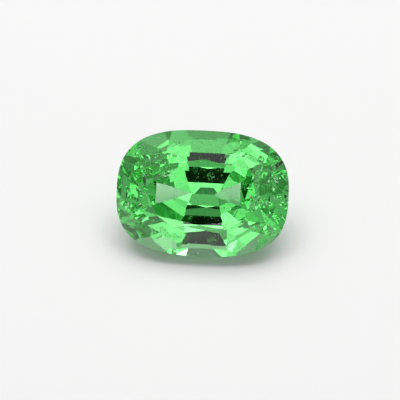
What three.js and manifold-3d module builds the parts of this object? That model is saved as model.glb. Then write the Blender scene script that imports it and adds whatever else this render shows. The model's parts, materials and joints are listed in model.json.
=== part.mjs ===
// A cushion-cut tsavorite garnet: a loose faceted stone, lying on one of its lower facets
// with its table turned up and to the front. Millimetres, +Z up, +X along the stone.
import * as THREE from "three";
import { mergeVertices } from "three/addons/utils/BufferGeometryUtils.js";
import Module from "manifold-3d";

const wasm = await Module();
wasm.setup();

// The stone is cut in its own frame: the girdle level, the table up, azimuths in degrees
// from the stone's right end, anticlockwise from above. Slopes are in degrees from level.

// Girdle: the rounded outline and the height of the narrow wall round it.
const LENGTH = 8.2;
const WIDTH = 6.0;
const OUTLINE_POWER = 2.75;
const OUTLINE_STEPS = 144;
const GIRDLE_HEIGHT = 0.3;

// Crown: its height, how far the table reaches from the middle towards its four main
// points, and the facets between the table and the girdle. The cutter gave the back and
// the front slightly different corners.
const CROWN_HEIGHT = 0.96;
const TABLE_REACH = { right: 2.58, back: 1.56, left: 2.68, front: 1.56 };
const BACK_CORNERS = { azimuth: 55.5, slope: 33 };
const FRONT_CORNERS = { azimuth: 67.5, slope: 32 };
const STAR_SLOPES = { ends: 17.5, sides: 16.5 };

// Pavilion: the keel, and eight columns of three facets that rise from it to the girdle.
// The first facet of a column starts at a place along the keel and has a width, measured
// level; the last one comes up to the girdle.
const KEEL_DEPTH = 3.28;
const KEEL_Y = 0.04;
const COLUMNS = {
  right: { azimuth: 0, start: 0.5, width: 1.26, slopes: [31.5, 42.8, 46.4] },
  rightBack: { azimuth: 61, start: 0.72, width: 1.36, slopes: [36.6, 44.4, 53] },
  back: { azimuth: 90, start: 0, width: 0.32, slopes: [38.3, 39.8, 50] },
  leftBack: { azimuth: 122, start: -0.64, width: 0.9, slopes: [38.8, 41.7, 46.8] },
  left: { azimuth: 180, start: -0.62, width: 1.66, slopes: [31.4, 44.8, 57.1] },
  leftFront: { azimuth: 241, start: -0.58, width: 0.76, slopes: [35.3, 38.8, 48.1] },
  front: { azimuth: 270, start: 0, width: 1.06, slopes: [36.2, 42.5, 56.3] },
  rightFront: { azimuth: 302.5, start: 0.64, width: 0.96, slopes: [36.9, 40.3, 46.8] },
};

// The stone lies on the second facet of its front column.
const REST_SLOPE = COLUMNS.front.slopes[1];

const GARNET_GREEN = 0x35b558;
const GRINDER = 24;
const UP = 1;
const DOWN = -1;
const girdleTop = GIRDLE_HEIGHT / 2;
const girdleBottom = -GIRDLE_HEIGHT / 2;
const tableHeight = girdleTop + CROWN_HEIGHT;

function direction(azimuth) {
  const angle = THREE.MathUtils.degToRad(azimuth);
  return new THREE.Vector2(Math.cos(angle), Math.sin(angle));
}

function tangent(slope) {
  return Math.tan(THREE.MathUtils.degToRad(slope));
}

function at(point, height) {
  return new THREE.Vector3(point.x, point.y, height);
}

// The point of the girdle's outline that lies furthest out in a direction.
function girdlePoint(azimuth) {
  const facing = direction(azimuth);
  const dual = OUTLINE_POWER / (OUTLINE_POWER - 1);
  const across = Math.abs((LENGTH / 2) * facing.x);
  const along = Math.abs((WIDTH / 2) * facing.y);
  const reach = (across ** dual + along ** dual) ** (1 / dual);
  return new THREE.Vector2(
    Math.sign(facing.x) * (LENGTH / 2) * (across / reach) ** (dual - 1),
    Math.sign(facing.y) * (WIDTH / 2) * (along / reach) ** (dual - 1),
  );
}

// The same outline as a closed shape.
function girdleShape() {
  const spread = (value) => Math.sign(value) * Math.abs(value) ** (2 / OUTLINE_POWER);
  const points = [];
  for (let step = 0; step < OUTLINE_STEPS; step += 1) {
    const facing = direction((step / OUTLINE_STEPS) * 360);
    const x = (LENGTH / 2) * spread(facing.x);
    const y = (WIDTH / 2) * spread(facing.y);
    points.push(new THREE.Vector2(x, y));
  }
  return new THREE.Shape(points);
}

// The plane of a facet that passes through a point and faces an azimuth, up or down.
function facet(azimuth, slope, point, side) {
  const tilt = THREE.MathUtils.degToRad(slope);
  const outward = direction(azimuth).multiplyScalar(Math.sin(tilt));
  const normal = at(outward, side * Math.cos(tilt));
  return new THREE.Plane().setFromNormalAndCoplanarPoint(normal, point);
}

// The point where three facets meet.
function meet(first, second, third) {
  const normals = new THREE.Matrix3().set(
    ...first.normal.toArray(),
    ...second.normal.toArray(),
    ...third.normal.toArray(),
  );
  const depths = new THREE.Vector3(-first.constant, -second.constant, -third.constant);
  return depths.applyMatrix3(normals.invert());
}

// A main facet of the crown, a kite from its point on the girdle to its point of the table.
function mainFacet({ azimuth, slope, reach }) {
  const outer = girdlePoint(azimuth);
  const facing = direction(azimuth);
  const run = slope ? CROWN_HEIGHT / tangent(slope) : facing.dot(outer) - reach;
  const inner = outer.clone().addScaledVector(facing, -run);
  const ownSlope = THREE.MathUtils.radToDeg(Math.atan2(CROWN_HEIGHT, run));
  return {
    azimuth,
    outer: at(outer, girdleTop),
    inner: at(inner, tableHeight),
    plane: facet(azimuth, ownSlope, at(outer, girdleTop), UP),
  };
}

// The girdle point that lies as far from one main facet's point as from the next one's.
function girdleMiddle(main, next) {
  let low = main.azimuth;
  let high = next.azimuth > low ? next.azimuth : next.azimuth + 360;
  for (let halving = 0; halving < 30; halving += 1) {
    const between = at(girdlePoint((low + high) / 2), girdleTop);
    if (between.distanceTo(main.outer) < between.distanceTo(next.outer)) low = (low + high) / 2;
    else high = (low + high) / 2;
  }
  return at(girdlePoint(low), girdleTop);
}

// A star facet between two main facets, and the pair of girdle facets under it.
function facetsBetween(main, next) {
  const edge = new THREE.Vector3().subVectors(next.inner, main.inner);
  const azimuth = THREE.MathUtils.radToDeg(Math.atan2(-edge.x, edge.y));
  const atEnd = main.azimuth % 180 === 0 || next.azimuth % 180 === 0;
  const star = facet(azimuth, atEnd ? STAR_SLOPES.ends : STAR_SLOPES.sides, main.inner, UP);
  const tip = meet(main.plane, next.plane, star);
  const halfway = girdleMiddle(main, next);
  return [
    star,
    new THREE.Plane().setFromCoplanarPoints(main.outer, halfway, tip),
    new THREE.Plane().setFromCoplanarPoints(halfway, next.outer, tip),
  ];
}

function crownFacets() {
  const back = BACK_CORNERS;
  const front = FRONT_CORNERS;
  const mains = [
    { azimuth: 0, reach: TABLE_REACH.right },
    { azimuth: back.azimuth, slope: back.slope },
    { azimuth: 90, reach: TABLE_REACH.back },
    { azimuth: 180 - back.azimuth, slope: back.slope },
    { azimuth: 180, reach: TABLE_REACH.left },
    { azimuth: 180 + front.azimuth, slope: front.slope },
    { azimuth: 270, reach: TABLE_REACH.front },
    { azimuth: 360 - front.azimuth, slope: front.slope },
  ].map(mainFacet);
  const table = new THREE.Plane(new THREE.Vector3(0, 0, UP), -tableHeight);
  const between = mains.flatMap((main, i) => facetsBetween(main, mains[(i + 1) % mains.length]));
  return [table, ...mains.map((main) => main.plane), ...between];
}

// One column of the pavilion, from the keel up to the girdle.
function columnFacets({ azimuth, start, width, slopes }) {
  const keel = new THREE.Vector3(start, KEEL_Y, -KEEL_DEPTH);
  const rise = width * tangent(slopes[0]);
  const step = at(direction(azimuth).multiplyScalar(width), rise);
  return [
    facet(azimuth, slopes[0], keel, DOWN),
    facet(azimuth, slopes[1], keel.clone().add(step), DOWN),
    facet(azimuth, slopes[2], at(girdlePoint(azimuth), girdleBottom), DOWN),
  ];
}

// A closed geometry as a solid that can be cut.
function solidOf(geometry) {
  geometry.deleteAttribute("normal");
  geometry.deleteAttribute("uv");
  const merged = mergeVertices(geometry);
  return new wasm.Manifold(
    new wasm.Mesh({
      numProp: 3,
      vertProperties: merged.attributes.position.array,
      triVerts: new Uint32Array(merged.index.array),
    }),
  );
}

// The blank that the facets are ground on: the outline, as tall as the stone.
function blank() {
  const depth = tableHeight + KEEL_DEPTH;
  const shape = new THREE.ExtrudeGeometry(girdleShape(), { depth, bevelEnabled: false });
  return solidOf(shape.translate(0, 0, -KEEL_DEPTH));
}

// A large block with one face on the facet's plane takes away all that stands outside it.
function grind(stone, plane) {
  const block = new THREE.BoxGeometry(GRINDER, GRINDER, GRINDER);
  const turn = new THREE.Quaternion();
  turn.setFromUnitVectors(new THREE.Vector3(0, 0, 1), plane.normal);
  const place = plane.coplanarPoint(new THREE.Vector3());
  place.addScaledVector(plane.normal, GRINDER / 2);
  block.applyQuaternion(turn).translate(place.x, place.y, place.z);
  return stone.subtract(solidOf(block));
}

function geometryOf(solid) {
  const { vertProperties, triVerts } = solid.getMesh();
  const geometry = new THREE.BufferGeometry();
  geometry.setAttribute("position", new THREE.BufferAttribute(vertProperties, 3));
  geometry.setIndex(new THREE.BufferAttribute(triVerts, 1));
  return geometry;
}

// Turned on to its resting facet, with the middle of its footprint at the origin.
function layDown(geometry) {
  geometry.rotateX(THREE.MathUtils.degToRad(REST_SLOPE));
  geometry.computeBoundingBox();
  const { min, max } = geometry.boundingBox;
  return geometry.translate(-(min.x + max.x) / 2, -(min.y + max.y) / 2, -min.z);
}

const facets = [...crownFacets(), ...Object.values(COLUMNS).flatMap(columnFacets)];
const stone = facets.reduce(grind, blank());
const garnet = new THREE.MeshStandardMaterial({
  color: GARNET_GREEN,
  roughness: 0.05,
  metalness: 0,
  flatShading: true,
});
const tsavorite = new THREE.Mesh(layDown(geometryOf(stone)), garnet);
tsavorite.name = "tsavorite";

const part = new THREE.Group();
part.add(tsavorite);
export default part;
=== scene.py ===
import json
import math
import random

import bmesh
import bpy
from mathutils import Matrix, Quaternion, Vector


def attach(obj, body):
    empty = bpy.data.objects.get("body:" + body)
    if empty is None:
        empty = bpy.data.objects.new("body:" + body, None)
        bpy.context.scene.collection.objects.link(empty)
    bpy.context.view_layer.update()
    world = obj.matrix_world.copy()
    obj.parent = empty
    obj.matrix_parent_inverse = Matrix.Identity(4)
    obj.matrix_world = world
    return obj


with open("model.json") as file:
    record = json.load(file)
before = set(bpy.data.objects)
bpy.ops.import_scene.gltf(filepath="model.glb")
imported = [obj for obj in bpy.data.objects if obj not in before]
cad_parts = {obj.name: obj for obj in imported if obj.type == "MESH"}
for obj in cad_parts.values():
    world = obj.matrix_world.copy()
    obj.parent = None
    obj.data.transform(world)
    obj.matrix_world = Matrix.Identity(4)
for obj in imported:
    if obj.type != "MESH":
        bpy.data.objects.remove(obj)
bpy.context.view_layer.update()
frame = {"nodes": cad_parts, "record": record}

MM = 0.001

# The stone lies with its table turned up to the camera. The table's mount gives where the
# table is and which way it faces.
table = next(m for m in frame["record"]["mounts"] if m["name"] == "table")
TABLE_MIDDLE = Vector(table["pos_m"])
TABLE_FACING = Vector(table["axis"]).normalized()
ALONG_STONE = Vector((1, 0, 0))

# The garnet's optics: how strongly it bends light, how much of each colour is lost in one
# millimetre of it, and how often light may turn inside it. The tint is how much the volume's
# own colour holds back of what is lost most. The volume's density gives the rest.
REFRACTIVE_INDEX = 1.74
LOST_PER_MM = {"red": 0.21, "green": 0.032, "blue": 0.185}
DEEPEST_TINT = 0.92
TURNS_INSIDE = 24

# The facets are polished and the girdle is only ground. A face belongs to the girdle where
# it stands square to the table, give or take this share of its normal.
FACET_ROUGHNESS = 0
GIRDLE_ROUGHNESS = 0.4
NEARLY_SQUARE = 0.01

# What grew inside it. Places are in millimetres right, up and down from the middle of the
# table, and sizes are radii in millimetres. A grain's breadth and flatness are its two
# shorter sides as shares of its size.
INCLUSION_SEED = 5
GRAIN_BREADTH = (0.6, 1)

# Round clusters of grains: the middle, the radius and the number of grains of each.
CLUSTERS = [
    ((0.36, 0.82, 1.6), 0.18, 40),
    ((0.85, 0.9, 1.5), 0.07, 7),
    ((-0.5, -1.2, 1.2), 0.08, 8),
]
CLUSTER_GRAIN_SIZE = (0.015, 0.035)
CLUSTER_GRAIN_FLATNESS = 0.6

# Pinpoints all through the stone.
PINPOINTS = 320
PINPOINT_SPACE = {"right": (-3.8, 3.8), "up": (-2.8, 2.8), "down": (0.1, 4)}
PINPOINT_SIZE = (0.012, 0.035)
PINPOINT_FLATNESS = 0.8

# Thin veils of flakes: the middle, the width and height, and the number of flakes of each.
# A veil thins out towards its edge, slants down to the right and is a little wavy. A wave
# has its height, how close its crests are, and where it starts.
VEILS = [
    ((-2.3, 1.2, 1.3), (1.2, 1.0), 130),
    ((2.5, 0.5, 1.5), (1.0, 1.4), 80),
]
VEIL_SPREAD = 0.45
VEIL_SLANT = 0.4
WAVE_ACROSS = (0.15, 5, 0)
WAVE_ALONG = (0.1, 7, 1)
FLAKE_SIZE = (0.02, 0.06)
FLAKE_FLATNESS = 0.25

# Small clear crystals, which crowd both ends of the stone.
CROWDED_ENDS = {"left end": (-3.1, 0, 1.5), "right end": (3.1, 0, 1.5)}
END_SPREAD = {"right": 0.5, "up": 1.2, "down": 0.4}
CLEAR_CRYSTALS_IN_END = 15
CLEAR_CRYSTAL_SIZE = (0.2, 0.38)
CLEAR_CRYSTAL_FLATNESS = (0.2, 0.5)
CLEAR_CRYSTAL_IOR = 1.14

# A grain is left out where it would come nearer to a facet than this. A face smaller than
# a sliver is part of an edge, and isn't a facet.
EDGE_MARGIN = 0.06 * MM
SLIVER = 0.0001 * MM * MM

# The camera looks nearly square on to the table, from a little lower and to the right.
LEAN_DOWN = 2.9
LEAN_RIGHT = 2.9
CAMERA_DISTANCE = 190 * MM
FRAME_WIDTH = 19.07 * MM
IMAGE_SIZE = 400
STONE_MIDDLE_IN_IMAGE = (202.6, 193.5)
TABLE_ABOVE_GIRDLE = 1.11 * MM

# The floor and the dark front of the camera, which the stone gives back as its dark bars.
FLOOR_SIZE = 1.2
FLOOR_WHITE = (0.9, 0.895, 0.895, 1)
AIR_UNDER_STONE = 0.01 * MM
CAMERA_FRONT_SIZE = (61 * MM, 78.5 * MM, 1)
CAMERA_FRONT_LEFT = 9.8 * MM
CAMERA_FRONT_DROP = 12 * MM
BEHIND_LENS = 3 * MM

# The studio: a room that is dimmer near the floor than overhead, and soft panels that add
# to it. Each panel has its angle from the way the table faces, its side (0 right, 90 up,
# 180 left, 270 down), its width and height in degrees as the stone sees them, and its
# brightness.
ROOM_BRIGHTNESS = {"floor": 0.1, "ceiling": 0.72}
PANEL_DISTANCE = 200 * MM
PANELS = {
    "right panel": (49, -13, 27, 49, 1.0),
    "right strip": (52, 25, 7, 34, 2.2),
    "low right panel": (85, -39, 25, 21, 0.45),
    "left panel": (59, 196, 27, 43, 0.9),
    "left patch": (61, 196, 8, 8, 0.65),
    "front left panel": (66, 226, 29, 41, 2.8),
    "front strip": (29, 291, 40, 7, 1.4),
    "upper strip": (31, 63, 50, 11, 2.4),
    "upper right strip": (56, 41, 58, 12, 0.3),
    "back left panel": (60, 149, 30, 37, 1.8),
    "low back strip": (78, 117, 13, 56, 0.35),
    "low back panel": (88, 81, 12, 55, 3.8),
}

# The panels are there for the stone's facets. One more panel lights the floor alone.
FLOOR_LIGHT = (56, 92, 54, 44, 2.65)


def lean(direction, down, right):
    """A direction turned towards the table's lower side and towards the right."""
    turned = Quaternion(ALONG_STONE, math.radians(down)) @ direction
    upward = TABLE_FACING.cross(ALONG_STONE)
    return Quaternion(upward, math.radians(right)) @ turned


def facing(direction):
    """The turn of a thing whose +Z looks along a direction, with its +Y as high as it can be."""
    side = Vector((0, 0, 1)).cross(direction).normalized()
    up = direction.cross(side)
    return Matrix((side, up, direction)).transposed().to_quaternion()


VIEW = lean(TABLE_FACING, LEAN_DOWN, LEAN_RIGHT)


def principled(name):
    material = bpy.data.materials.new(name)
    material.use_nodes = True
    return material, material.node_tree.nodes["Principled BSDF"]


def garnet_material(name, roughness):
    material, surface = principled(name)
    surface.inputs["Base Color"].default_value = (1, 1, 1, 1)
    surface.inputs["Roughness"].default_value = roughness
    surface.inputs["IOR"].default_value = REFRACTIVE_INDEX
    surface.inputs["Transmission Weight"].default_value = 1
    absorb = material.node_tree.nodes.new("ShaderNodeVolumeAbsorption")
    most = max(LOST_PER_MM.values())
    kept = [1 - lost / most * DEEPEST_TINT for lost in LOST_PER_MM.values()]
    absorb.inputs["Color"].default_value = (*kept, 1)
    absorb.inputs["Density"].default_value = most / DEEPEST_TINT / MM
    output = material.node_tree.nodes["Material Output"]
    material.node_tree.links.new(absorb.outputs["Volume"], output.inputs["Volume"])
    return material


def inclusion_material():
    material, surface = principled("pale crystal inside the garnet")
    surface.inputs["Base Color"].default_value = (0.65, 1, 0.7, 1)
    surface.inputs["Roughness"].default_value = 0.3
    surface.inputs["IOR"].default_value = 1.2
    surface.inputs["Transmission Weight"].default_value = 0.85
    return material


def clear_crystal_material():
    material, surface = principled("clear crystal inside the garnet")
    surface.inputs["Base Color"].default_value = (1, 1, 1, 1)
    surface.inputs["Roughness"].default_value = 0
    surface.inputs["IOR"].default_value = CLEAR_CRYSTAL_IOR
    surface.inputs["Transmission Weight"].default_value = 1
    return material


def floor_material():
    material, surface = principled("white card")
    surface.inputs["Base Color"].default_value = FLOOR_WHITE
    surface.inputs["Roughness"].default_value = 0.9
    surface.inputs["Specular IOR Level"].default_value = 0.1
    return material


def dress(stone):
    """The CAD piece keeps its mesh: its flat facets are polished, its girdle only ground."""
    stone.data.materials.clear()
    stone.data.materials.append(garnet_material("tsavorite garnet", FACET_ROUGHNESS))
    stone.data.materials.append(garnet_material("ground garnet of the girdle", GIRDLE_ROUGHNESS))
    stone.data.shade_flat()
    for face in stone.data.polygons:
        if abs(face.normal.dot(TABLE_FACING)) < NEARLY_SQUARE:
            face.material_index = 1


def in_stone(right, up, depth):
    """A place inside the stone, in millimetres from the middle of the table."""
    upward = TABLE_FACING.cross(ALONG_STONE)
    return TABLE_MIDDLE + (ALONG_STONE * right + upward * up - TABLE_FACING * depth) * MM


def facets_of(stone):
    """A point and the outward direction of every face that isn't a mere sliver."""
    vertices = stone.data.vertices
    faces = [face for face in stone.data.polygons if face.area > SLIVER]
    return [(vertices[face.vertices[0]].co.copy(), face.normal.copy()) for face in faces]


def is_inside(facets, place, margin=EDGE_MARGIN):
    """True if a place lies further than the margin inside every facet of the stone."""
    return all((place - point).dot(outward) < -margin for point, outward in facets)


def add_grain(mesh, place, size, draw, flatness):
    """One grain, round or flattened, turned at random."""
    turn = Quaternion((draw.gauss(0, 1), draw.gauss(0, 1), draw.gauss(0, 1)), draw.uniform(0, 3))
    shape = Matrix.Diagonal((size, size * draw.uniform(*GRAIN_BREADTH), size * flatness, 1))
    placed = Matrix.Translation(place) @ turn.to_matrix().to_4x4() @ shape
    bmesh.ops.create_icosphere(mesh, subdivisions=1, radius=1, matrix=placed)


def add_clusters(mesh, draw):
    for (right, up, depth), radius, count in CLUSTERS:
        for _ in range(count):
            turn = draw.uniform(0, 2 * math.pi)
            reach = radius * math.sqrt(draw.random())
            place = in_stone(right + reach * math.cos(turn), up + reach * math.sin(turn), depth)
            size = draw.uniform(*CLUSTER_GRAIN_SIZE) * MM
            add_grain(mesh, place, size, draw, CLUSTER_GRAIN_FLATNESS)


def add_pinpoints(mesh, facets, draw):
    for _ in range(PINPOINTS):
        place = in_stone(*(draw.uniform(*span) for span in PINPOINT_SPACE.values()))
        if is_inside(facets, place):
            size = draw.uniform(*PINPOINT_SIZE) * MM
            add_grain(mesh, place, size, draw, PINPOINT_FLATNESS)


def wave(distance, height, closeness, start):
    return height * math.sin(closeness * distance + start)


def add_veils(mesh, facets, draw):
    for (right, up, depth), (width, height), count in VEILS:
        for _ in range(count):
            across = draw.gauss(0, VEIL_SPREAD)
            along = draw.gauss(0, VEIL_SPREAD)
            ripple = wave(across, *WAVE_ACROSS) + wave(along, *WAVE_ALONG)
            sunk = depth + ripple + VEIL_SLANT * across
            place = in_stone(right + width * across, up + height * along, sunk)
            if is_inside(facets, place):
                size = draw.uniform(*FLAKE_SIZE) * MM
                add_grain(mesh, place, size, draw, FLAKE_FLATNESS)


def add_clear_crystals(mesh, facets, draw):
    for middle in CROWDED_ENDS.values():
        for _ in range(CLEAR_CRYSTALS_IN_END):
            spreads = zip(middle, END_SPREAD.values())
            place = in_stone(*(start + draw.gauss(0, spread) for start, spread in spreads))
            size = draw.uniform(*CLEAR_CRYSTAL_SIZE) * MM
            if is_inside(facets, place, size):
                add_grain(mesh, place, size, draw, draw.uniform(*CLEAR_CRYSTAL_FLATNESS))


def make_inclusions(stone):
    """The small crystals and veils that grew inside the garnet, as one piece."""
    draw = random.Random(INCLUSION_SEED)
    mesh = bmesh.new()
    facets = facets_of(stone)
    add_clusters(mesh, draw)
    add_pinpoints(mesh, facets, draw)
    add_veils(mesh, facets, draw)
    pale_faces = len(mesh.faces)
    add_clear_crystals(mesh, facets, draw)
    mesh.faces.ensure_lookup_table()
    for face in mesh.faces[pale_faces:]:
        face.material_index = 1
    data = bpy.data.meshes.new("inclusions")
    mesh.to_mesh(data)
    mesh.free()
    inclusions = bpy.data.objects.new("inclusions", data)
    bpy.context.scene.collection.objects.link(inclusions)
    data.materials.append(inclusion_material())
    data.materials.append(clear_crystal_material())
    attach(inclusions, "root")


def make_floor():
    bpy.ops.mesh.primitive_plane_add(size=FLOOR_SIZE, location=(0, 0, -AIR_UNDER_STONE))
    floor = bpy.context.object
    floor.name = "floor"
    floor.data.materials.append(floor_material())


def around_table(angle, side):
    """The direction at an angle from the way the table faces, towards one side."""
    upward = TABLE_FACING.cross(ALONG_STONE)
    turn = math.radians(side)
    sideways = ALONG_STONE * math.cos(turn) + upward * math.sin(turn)
    return TABLE_FACING * math.cos(math.radians(angle)) + sideways * math.sin(math.radians(angle))


def soft_panel(name, angle, side, width, height, brightness):
    """A flat panel of even light that faces the stone."""
    direction = around_table(angle, side)
    light = bpy.data.lights.new(name, "AREA")
    light.shape = "RECTANGLE"
    light.size = 2 * PANEL_DISTANCE * math.tan(math.radians(width / 2))
    light.size_y = 2 * PANEL_DISTANCE * math.tan(math.radians(height / 2))
    light.energy = brightness * light.size * light.size_y * math.pi
    panel = bpy.data.objects.new(name, light)
    panel.location = direction * PANEL_DISTANCE
    panel.rotation_mode = "QUATERNION"
    panel.rotation_quaternion = facing(direction)
    bpy.context.scene.collection.objects.link(panel)
    return panel


def make_room():
    """Even light from all round, brighter overhead."""
    world = bpy.data.worlds.new("studio")
    bpy.context.scene.world = world
    world.use_nodes = True
    nodes = world.node_tree.nodes
    links = world.node_tree.links
    background = nodes["Background"]
    background.inputs["Color"].default_value = (1, 1, 1, 1)
    place = nodes.new("ShaderNodeTexCoord")
    parts = nodes.new("ShaderNodeSeparateXYZ")
    height = nodes.new("ShaderNodeMapRange")
    height.inputs["To Min"].default_value = ROOM_BRIGHTNESS["floor"]
    height.inputs["To Max"].default_value = ROOM_BRIGHTNESS["ceiling"]
    links.new(place.outputs["Generated"], parts.inputs["Vector"])
    links.new(parts.outputs["Z"], height.inputs["Value"])
    links.new(height.outputs["Result"], background.inputs["Strength"])


def make_lights():
    for name, values in PANELS.items():
        soft_panel(name, *values).visible_diffuse = False
    floor_light = soft_panel("floor light", *FLOOR_LIGHT)
    floor_light.visible_glossy = False
    floor_light.visible_transmission = False


def make_camera_front():
    """The dark front of the camera, which the stone mirrors back as its dark bars."""
    bpy.ops.mesh.primitive_circle_add(vertices=64, radius=0.5, fill_type="NGON")
    panel = bpy.context.object
    panel.name = "dark camera front"
    panel.scale = CAMERA_FRONT_SIZE
    aside = facing(VIEW) @ Vector((-CAMERA_FRONT_LEFT, -CAMERA_FRONT_DROP, 0))
    panel.location = VIEW * (CAMERA_DISTANCE + BEHIND_LENS) + aside
    panel.rotation_mode = "QUATERNION"
    panel.rotation_quaternion = facing(VIEW)
    material, surface = principled("black card")
    surface.inputs["Base Color"].default_value = (0.01, 0.01, 0.01, 1)
    surface.inputs["Roughness"].default_value = 0.8
    surface.inputs["Specular IOR Level"].default_value = 0
    panel.data.materials.append(material)


def make_camera():
    camera = bpy.data.cameras.new("camera")
    camera.sensor_width = 36
    camera.lens = camera.sensor_width * CAMERA_DISTANCE / FRAME_WIDTH
    camera.shift_x = (IMAGE_SIZE / 2 - STONE_MIDDLE_IN_IMAGE[0]) / IMAGE_SIZE
    camera.shift_y = (STONE_MIDDLE_IN_IMAGE[1] - IMAGE_SIZE / 2) / IMAGE_SIZE
    camera.clip_start = 1 * MM
    camera.clip_end = 2
    holder = bpy.data.objects.new("camera", camera)
    outline_middle = TABLE_MIDDLE - TABLE_FACING * TABLE_ABOVE_GIRDLE
    holder.location = outline_middle + VIEW * CAMERA_DISTANCE
    holder.rotation_mode = "QUATERNION"
    holder.rotation_quaternion = facing(VIEW)
    bpy.context.scene.collection.objects.link(holder)
    bpy.context.scene.camera = holder


def let_light_turn_inside():
    """Light turns many times inside a cut stone before it comes out."""
    cycles = bpy.context.scene.cycles
    cycles.max_bounces = TURNS_INSIDE
    cycles.glossy_bounces = TURNS_INSIDE
    cycles.transmission_bounces = TURNS_INSIDE


garnet = frame["nodes"]["tsavorite"]
dress(garnet)
make_inclusions(garnet)
make_floor()
make_room()
make_lights()
make_camera_front()
make_camera()
let_light_turn_inside()
bpy.context.scene.view_settings.view_transform = "Standard"
